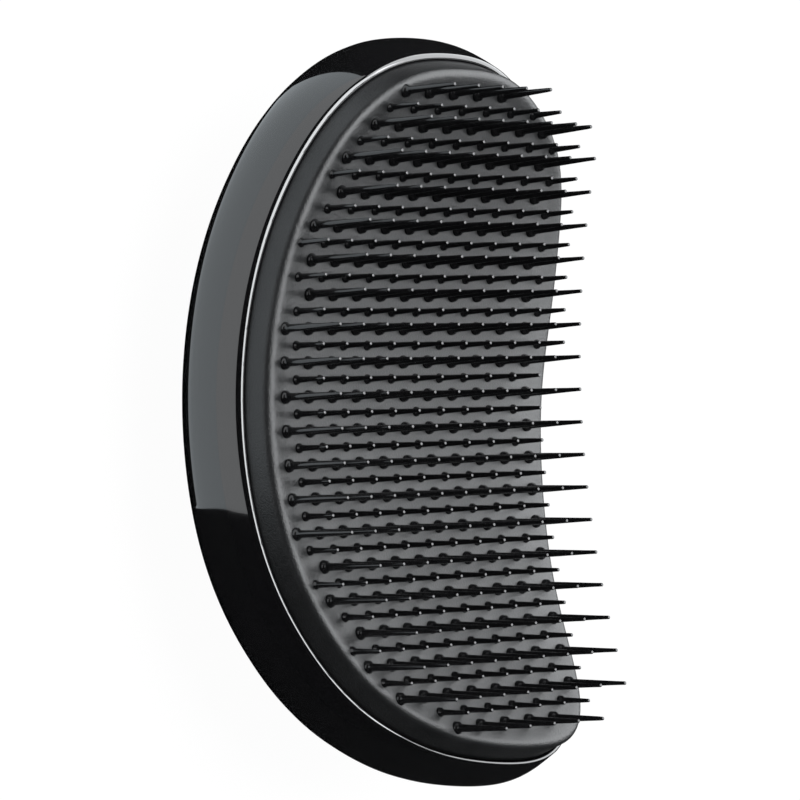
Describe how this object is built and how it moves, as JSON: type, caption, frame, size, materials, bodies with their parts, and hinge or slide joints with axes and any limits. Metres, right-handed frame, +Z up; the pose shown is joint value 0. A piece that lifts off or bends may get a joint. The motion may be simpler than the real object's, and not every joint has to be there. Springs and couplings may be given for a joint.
{
  "type": "detangling brush",
  "caption": "Handle-less palm brush: hollow glossy shell with a snapped-in flexible pad of long and short moulded teeth.",
  "frame": {"origin": "middle of the bounding box in plan, on the surface that the flat of the back rests on", "axes": "+Z up out of the toothed face, X along the length with the fuller rounded end at -X, -Y towards the side that bulges most"},
  "size_m": [0.1194, 0.0728, 0.044],
  "materials": {
    "shell_gloss": "high gloss black moulding",
    "pad_matte": "finely grained matte charcoal elastomer",
    "tooth_gloss": "smooth black flexible teeth with small bright tips"
  },
  "bodies": {
    "root": {"palm_shell": "shell_gloss", "tooth_pad": "pad_matte"}
  },
  "joints": []
}
